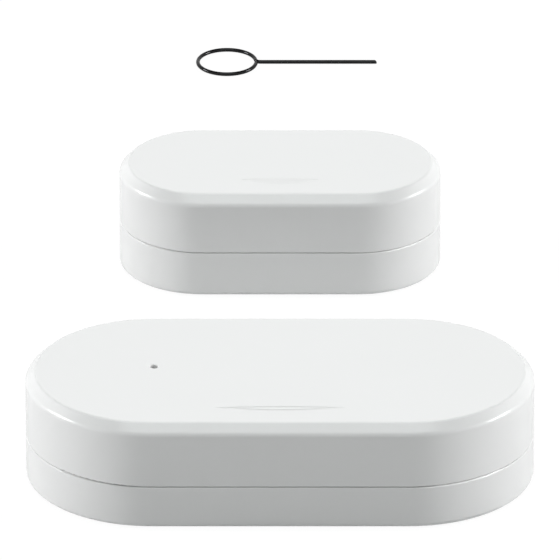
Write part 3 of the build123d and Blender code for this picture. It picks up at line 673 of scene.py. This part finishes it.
# Zinc screws, with rings left by turning about each screw's own axis. The axes stand every "pitchX" along X
# from "x", at "y" to either side of the middle
screwLooks = {
    "trayZinc": {"nodes": ("tray_screws",), "x": 22.0 * mm, "y": 13.8 * mm},
    "boardZinc": {"nodes": ("board_screws",), "x": -23.6 * mm, "y": 10.9 * mm},
}
screwFinish = {
    "color": (0.560, 0.570, 0.590, 1), "worn": (0.72, 0.73, 0.74, 1), "drift": 500, "driftAmount": 0.15,
    "pitchX": 30.0 * mm, "ringStep": 0.12 * mm, "depth": 0.006 * mm,
    "clean": 0.24, "smeared": 0.40, "smear": 500, "softEdge": 0.08 * mm,
}


def makeScrewZinc(name, look):
    look = {**screwFinish, **look}
    material, tree, shader, place = startMaterial(name, {"Metallic": 1.0})
    x, y, z = splitAxes(tree, place)
    fromX = addMath(tree, "SUBTRACT", x, look["x"])
    fromX = addMath(tree, "WRAP", fromX, look["pitchX"] / 2, -look["pitchX"] / 2)
    fromY = addMath(tree, "SUBTRACT", addMath(tree, "ABSOLUTE", y), look["y"])
    radius = addVectorMath(tree, "LENGTH", joinAxes(tree, fromX, fromY, 0.0), (0, 0, 0))
    rings = addMath(tree, "SINE", addMath(tree, "MULTIPLY", radius, fullTurn / look["ringStep"]))
    worn = useGroup(tree, edgeWear, Vector=place, Radius=look["softEdge"])["Mask"]
    feed(tree, mixColors(tree, worn, addTone(tree, place, look), look["worn"]), shader["Base Color"])
    feed(tree, addGloss(tree, place, look), shader["Roughness"])
    feed(tree, addBump(tree, rings, look["depth"], look["softEdge"]), shader["Normal"])
    return material


finishes = {}


def dress(name, look, make):
    finishes[name] = make(name, look)
    for node in look["nodes"]:
        cadNodes[node].data.materials[0] = finishes[name]


for looks, make in ((moldedLooks, makeMolded), (metalLooks, makeMetal), (boardLooks, makeBoard),
                    (endedLooks, makeEnded), (screwLooks, makeScrewZinc)):
    for name, look in looks.items():
        dress(name, look, make)
dress("padFoam", foam, makeFoam)
dress("cellCan", canLook, makeCan)
dress("reedGlass", glass, makeGlass)
for name, cell in cells.items():
    cadNodes[cell["node"]].data.materials[0] = makeSleeve(name + "Sleeve", cell, sleeveLook)
print("CAD nodes dressed,", len(finishes) + len(cells), "materials")


# Small pieces that the CAD nodes leave out

mergeReach = 0.0001 * mm


def newPiece(name, body, material, shape, smooth=False):
    bmesh.ops.remove_doubles(shape, verts=shape.verts, dist=mergeReach)
    bmesh.ops.recalc_face_normals(shape, faces=shape.faces)
    mesh = bpy.data.meshes.new(name)
    shape.to_mesh(mesh)
    shape.free()
    for face in mesh.polygons:
        face.use_smooth = smooth
    mesh.materials.append(finishes[material])
    piece = bpy.data.objects.new(name, mesh)
    scene.collection.objects.link(piece)
    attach(piece, body)


def pullOut(shape, faces, move):
    pulled = bmesh.ops.extrude_face_region(shape, geom=faces)["geom"]
    corners = [part for part in pulled if isinstance(part, bmesh.types.BMVert)]
    bmesh.ops.translate(shape, vec=move, verts=corners)


def addTurned(shape, profile, center, stretch=(1, 1, 1), steps=24):
    # a radius and height profile turned about an upright axis, then stretched and put in place
    verts = [shape.verts.new((radius, 0, height)) for radius, height in profile]
    edges = [shape.edges.new(pair) for pair in zip(verts, verts[1:])]
    bmesh.ops.spin(shape, geom=verts + edges, cent=(0, 0, 0), axis=(0, 0, 1), angle=fullTurn, steps=steps,
                   use_merge=True)
    made = [vert for vert in shape.verts if not vert.tag]
    bmesh.ops.scale(shape, vec=stretch, verts=made)
    bmesh.ops.translate(shape, vec=center, verts=made)
    for vert in made:
        vert.tag = True


antenna = {
    "cell": 0.3 * mm, "columns": 5, "rows": 43, "rowStep": 3, "left": -31.75 * mm, "front": -6.45 * mm,
    "top": 9.8 * mm, "height": 0.05 * mm,
}


def makeAntenna():
    # the printed meander on the strip that the shield leaves free
    shape = bmesh.new()
    cell, columns, rows = antenna["cell"], antenna["columns"], antenna["rows"]
    length, width = rows * cell, columns * cell
    place = Matrix.Translation((antenna["left"] + width / 2, antenna["front"] + length / 2, antenna["top"]))
    size = Matrix.Diagonal((width, length, 1, 1))
    bmesh.ops.create_grid(shape, x_segments=columns, y_segments=rows, size=0.5, matrix=place @ size)
    bare = []
    for face in shape.faces:
        center = face.calc_center_median()
        column = int((center.x - antenna["left"]) / cell)
        row = int((center.y - antenna["front"]) / cell)
        turnSide = 0 if row // antenna["rowStep"] % 2 else columns - 1
        if row % antenna["rowStep"] and column != turnSide:
            bare.append(face)
    bmesh.ops.delete(shape, geom=bare, context="FACES")
    pullOut(shape, shape.faces[:], (0, 0, -antenna["height"]))
    newPiece("antenna", "sensor_front", "goldFlash", shape)


beads = {
    "startX": -30.6 * mm, "pitch": 1.27 * mm, "count": 8, "y": 7.62 * mm, "z": 10.36 * mm,
    "radius": 0.36 * mm, "stretch": (1.0, 0.7, 0.8), "segments": 14, "rings": 8,
}


def makeModuleSolder():
    # solder that joins the module's edge contacts to the board below it
    shape = bmesh.new()
    for index in range(beads["count"]):
        for side in (-1, 1):
            place = (beads["startX"] + index * beads["pitch"], side * beads["y"], beads["z"])
            matrix = Matrix.Translation(place) @ Matrix.Diagonal((*beads["stretch"], 1))
            bmesh.ops.create_uvsphere(shape, u_segments=beads["segments"], v_segments=beads["rings"],
                                      radius=beads["radius"], matrix=matrix)
    newPiece("module_solder", "sensor_front", "solderTin", shape, smooth=True)


# in millimetres, the profile as radius and height
joints = {
    "profile": [(0.0, 0.58), (0.16, 0.56), (0.26, 0.46), (0.34, 0.28), (0.52, 0.12), (0.80, 0.02),
                (0.84, -0.02), (0.0, -0.02)],
    "tabs": [(-16.35, -5.4), (-16.35, 5.4)], "tabStretch": (0.75, 1.5, 1.0), "boardTop": 11.6,
    "leads": [(-9.5, 14.225), (9.5, 14.225)], "boardBottom": 10.6,
}


def makeJointSolder():
    # cones of solder around the contact tabs above the board and the reed switch's leads below it
    shape = bmesh.new()
    profile = [(radius * mm, height * mm) for radius, height in joints["profile"]]
    for x, y in joints["tabs"]:
        addTurned(shape, profile, (x * mm, y * mm, joints["boardTop"] * mm), joints["tabStretch"])
    for x, y in joints["leads"]:
        addTurned(shape, profile, (x * mm, y * mm, joints["boardBottom"] * mm), (1, 1, -1))
    newPiece("joint_solder", "sensor_front", "solderTin", shape, smooth=True)


# in millimetres
pads = {
    "screwPlaces": [(-23.6, -10.9), (-23.6, 10.9)], "screwRing": (1.68, 2.15),
    "testPlaces": [(-13.2, 14.2), (-5.6, 14.2), (-2.8, 14.2), (0.0, 14.2), (2.8, 14.2), (5.6, 14.2)],
    "testRadius": 0.55, "under": 10.6, "height": 0.035, "ringSteps": 40,
}


def makeBoardPads():
    # tinned rings around the screws and test points, all on the board's underside
    shape = bmesh.new()
    inner, outer = (radius * mm for radius in pads["screwRing"])
    drop = -pads["height"] * mm
    for x, y in pads["screwPlaces"]:
        profile = [(inner, 0), (outer, 0), (outer, drop), (inner, drop), (inner, 0)]
        addTurned(shape, profile, (x * mm, y * mm, pads["under"] * mm), steps=pads["ringSteps"])
    for x, y in pads["testPlaces"]:
        profile = [(0, 0), (pads["testRadius"] * mm, 0), (pads["testRadius"] * mm, drop), (0, drop)]
        addTurned(shape, profile, (x * mm, y * mm, pads["under"] * mm))
    newPiece("board_pads", "sensor_front", "goldFlash", shape)


# in millimetres
polarity = {
    "plus": [(25.0, -5.4), (-10.0, 5.4)], "minus": [(-8.0, -5.4), (23.0, 5.4)],
    "reach": 2.2, "half": 0.45, "roof": 13.05, "height": 0.12, "round": 0.04, "roundSteps": 2,
    "flatWithin": 1,    # degrees
}


def makePolarityMarks():
    # raised plus and minus signs on the roof of each battery bay, each grown from a small block
    shape = bmesh.new()
    half, arm = polarity["half"] * mm, (polarity["reach"] - polarity["half"]) * mm
    size = Matrix.Diagonal((2 * half, 2 * half, polarity["height"] * mm, 1))
    for sign in ("plus", "minus"):
        for x, y in polarity[sign]:
            place = Matrix.Translation((x * mm, y * mm, (polarity["roof"] - polarity["height"] / 2) * mm))
            made = bmesh.ops.create_cube(shape, size=1, matrix=place @ size)
            for face in list({face for vert in made["verts"] for face in vert.link_faces}):
                face.normal_update()
                lengthways, sideways = (round(abs(part)) for part in face.normal[:2])
                if sideways or (lengthways and sign == "plus"):
                    pullOut(shape, [face], face.normal * arm)
    bmesh.ops.dissolve_limit(shape, angle_limit=radians(polarity["flatWithin"]), verts=shape.verts[:],
                             edges=shape.edges[:])
    bmesh.ops.bevel(shape, geom=shape.edges[:], offset=polarity["round"] * mm,
                    segments=polarity["roundSteps"], profile=0.5, affect="EDGES", material=-1)
    # the faces that the arms grew from are still inside the signs
    shape.normal_update()
    upright = [face for face in shape.faces if round(face.normal.z) == 0]
    inside = [face for face in upright if all(len(edge.link_faces) > 2 for edge in face.edges)]
    bmesh.ops.delete(shape, geom=inside, context="FACES_ONLY")
    newPiece("polarity_marks", "sensor_front", "trayPlastic", shape)


# in millimetres
ejectors = {
    "sensor_base": [(0, 0), (-16, -9), (-16, 9), (16, -9), (16, 9), (32, 0), (-33.5, 0)],
    "magnet_base": [(-18.5, 75.8), (18.5, 75.8), (0, 76.4)],
    "ring": (1.35, 1.50), "floor": 1.9, "height": 0.06, "steps": 36,
}


def makeEjectorMarks(body):
    # faint raised circles where the mould's pins pushed the cover out
    shape = bmesh.new()
    inner, outer = (radius * mm for radius in ejectors["ring"])
    rise = ejectors["height"] * mm
    for x, y in ejectors[body]:
        profile = [(inner, 0), (inner, rise), (outer, rise), (outer, 0), (inner, 0)]
        addTurned(shape, profile, (x * mm, y * mm, ejectors["floor"] * mm), steps=ejectors["steps"])
    newPiece(body + "_ejector_marks", body, "whiteCasing", shape)


makeAntenna()
makeModuleSolder()
makeJointSolder()
makeBoardPads()
makePolarityMarks()
makeEjectorMarks("sensor_base")
makeEjectorMarks("magnet_base")
print("small pieces added")


# the camera, mirrors and glass see the floor partly as plain white, and its own grey keeps the shadow
floorLook = {
    "size": 8.0, "albedo": (0.75, 0.75, 0.75, 1), "seenStrength": 1.05, "seenShare": 0.90,
    "mirroredShare": 0.15,
}


def makeFloor():
    mesh = bpy.data.meshes.new("floor")
    shape = bmesh.new()
    bmesh.ops.create_grid(shape, x_segments=1, y_segments=1, size=floorLook["size"] / 2)
    shape.to_mesh(mesh)
    shape.free()
    floor = bpy.data.objects.new("floor", mesh)
    scene.collection.objects.link(floor)
    material = bpy.data.materials.new("paleFloor")
    material.use_nodes = True
    tree = material.node_tree
    tree.nodes.clear()
    matte = tree.nodes.new("ShaderNodeBsdfDiffuse")
    matte.inputs["Color"].default_value = floorLook["albedo"]
    glow = tree.nodes.new("ShaderNodeEmission")
    glow.inputs["Strength"].default_value = floorLook["seenStrength"]
    rays = tree.nodes.new("ShaderNodeLightPath").outputs
    mirrored = addMath(tree, "MAXIMUM", rays["Is Glossy Ray"], rays["Is Transmission Ray"])
    mirrored = addMath(tree, "MULTIPLY", mirrored, floorLook["mirroredShare"])
    seen = addMath(tree, "MULTIPLY", rays["Is Camera Ray"], floorLook["seenShare"])
    seen = addMath(tree, "MAXIMUM", seen, mirrored)
    surface = mixShaders(tree, seen, matte.outputs["BSDF"], glow.outputs["Emission"])
    # from below the floor is clear, so that the undersides can be looked at
    under = tree.nodes.new("ShaderNodeNewGeometry").outputs["Backfacing"]
    clear = tree.nodes.new("ShaderNodeBsdfTransparent").outputs["BSDF"]
    surface = mixShaders(tree, under, surface, clear)
    feed(tree, surface, tree.nodes.new("ShaderNodeOutputMaterial").inputs["Surface"])
    mesh.materials.append(material)


worldLook = {"fill": 1.0, "ceiling": 0.12, "horizonTop": (0.45, 0.85), "behind": (-0.3, 0.6)}


def makeWorld():
    # a white room whose ceiling is darker, and which lights the object from behind only
    world = bpy.data.worlds.new("paleRoom")
    world.use_nodes = True
    tree = world.node_tree
    background = tree.nodes["Background"]
    background.inputs["Color"].default_value = (1, 1, 1, 1)
    direction = tree.nodes.new("ShaderNodeTexCoord").outputs["Generated"]
    x, y, z = splitAxes(tree, direction)
    walls = addRange(tree, z, *worldLook["horizonTop"], 1.0, worldLook["ceiling"])
    behind = addRange(tree, y, *worldLook["behind"], 0.0, worldLook["fill"])
    rays = tree.nodes.new("ShaderNodeLightPath").outputs
    mirrored = addMath(tree, "MAXIMUM", rays["Is Glossy Ray"], rays["Is Transmission Ray"])
    strength = mixValues(tree, mirrored, addMath(tree, "MULTIPLY", walls, behind), walls)
    strength = mixValues(tree, rays["Is Camera Ray"], strength, 1.0)
    feed(tree, strength, background.inputs["Strength"])
    scene.world = world


# turn from the front towards the right and rise above the floor in degrees, level in watts at 1 m
sidePanel = {"rise": 22, "size": (1.1, 0.74), "level": 6.35, "tint": (1, 1, 1)}
lamps = {
    "leftPanel": {"turn": -90, **sidePanel},
    "rightPanel": {"turn": 90, **sidePanel},
    "topPanel": {"turn": 0, "rise": 76, "size": (2.0, 2.0), "level": 3.65, "tint": (0.95, 1, 0.985)},
}
lampPlace = {"aim": (0, 50 * mm, 0), "distance": 3.0}


def makeLamps():
    aim, distance = Vector(lampPlace["aim"]), lampPlace["distance"]
    for name, lamp in lamps.items():
        data = bpy.data.lights.new(name, "AREA")
        data.shape = "RECTANGLE"
        data.size, data.size_y = lamp["size"]
        data.energy = lamp["level"] * distance ** 2
        data.color = lamp["tint"]
        panel = bpy.data.objects.new(name, data)
        scene.collection.objects.link(panel)
        turn = Matrix.Rotation(radians(lamp["turn"]), 3, "Z")
        rise = Matrix.Rotation(radians(-lamp["rise"]), 3, "X")
        away = turn @ rise @ Vector((0, -1, 0))
        panel.location = aim + away * distance
        panel.rotation_mode = "QUATERNION"
        panel.rotation_quaternion = away.to_track_quat("Z", "Y")
        panel.visible_camera = False


# fitted to the outlines of the two units: lens and sensor in millimetres, elevation in degrees
cameraView = {
    "aimY": 64.2 * mm, "distance": 1.8, "elevation": 25.88, "lens": 767.7, "sensor": 36.0, "near": 0.1,
}


def makeCamera():
    data = bpy.data.cameras.new("camera")
    data.lens = cameraView["lens"]
    data.sensor_width = cameraView["sensor"]
    data.clip_start = cameraView["near"]
    camera = bpy.data.objects.new("camera", data)
    scene.collection.objects.link(camera)
    tilt = radians(90 - cameraView["elevation"])
    camera.rotation_euler = (tilt, 0, 0)
    back = Matrix.Rotation(tilt, 3, "X") @ Vector((0, 0, cameraView["distance"]))
    camera.location = Vector((0, cameraView["aimY"], 0)) + back
    scene.camera = camera


makeFloor()
makeWorld()
makeLamps()
makeCamera()
scene.view_settings.view_transform = "Standard"
print("floor, lights and camera placed")
